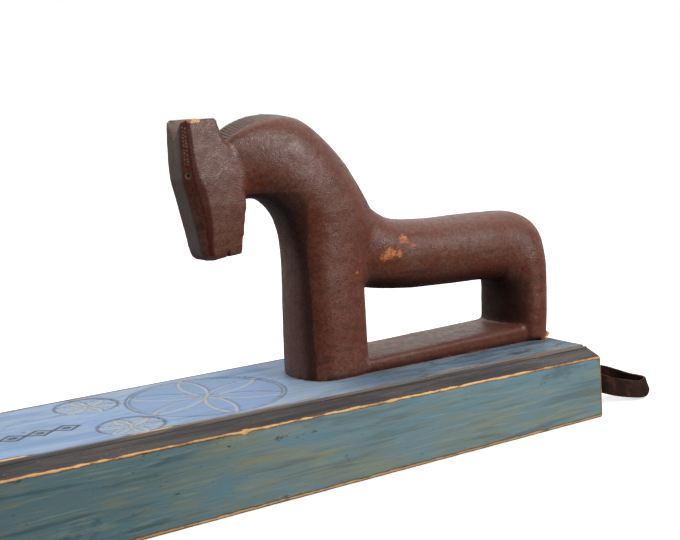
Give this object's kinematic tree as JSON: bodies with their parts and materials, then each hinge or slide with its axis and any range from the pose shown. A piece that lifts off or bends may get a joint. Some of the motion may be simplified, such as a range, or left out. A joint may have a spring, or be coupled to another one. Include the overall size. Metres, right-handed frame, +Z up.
{
  "type": "mangle board",
  "caption": "Painted wooden mangle board: a long tapered plank with carved rosettes, a carved horse as its handle, and a leather hanging loop.",
  "frame": {"origin": "on the ground under the middle of the whole object's box, hanging loop included", "axes": "+X along the board towards its tail end, where the horse and the loop are; +Z up out of the carved face; Y across the board"},
  "size_m": [0.6534, 0.13, 0.1864],
  "materials": {
    "blue_paint": "worn matt paint on wood",
    "brown_paint": "semi-gloss brown paint on wood",
    "bare_wood": "bare wood",
    "strap_leather": "old dark leather"
  },
  "bodies": {
    "board": {"board": "blue_paint", "horse_handle": "brown_paint", "front_dowel": "bare_wood", "rear_dowel": "bare_wood", "strap_ends": "strap_leather", "strap_wedge": "bare_wood"},
    "loop": {"hanging_loop": "strap_leather"}
  },
  "joints": [
    {"name": "loop_swing", "type": "hinge", "parent": "board", "child": "loop", "pos_m": [0.2793, -0.039, 0.0178], "axis": [0, -1, 0], "range_deg": [0, 95]}
  ]
}
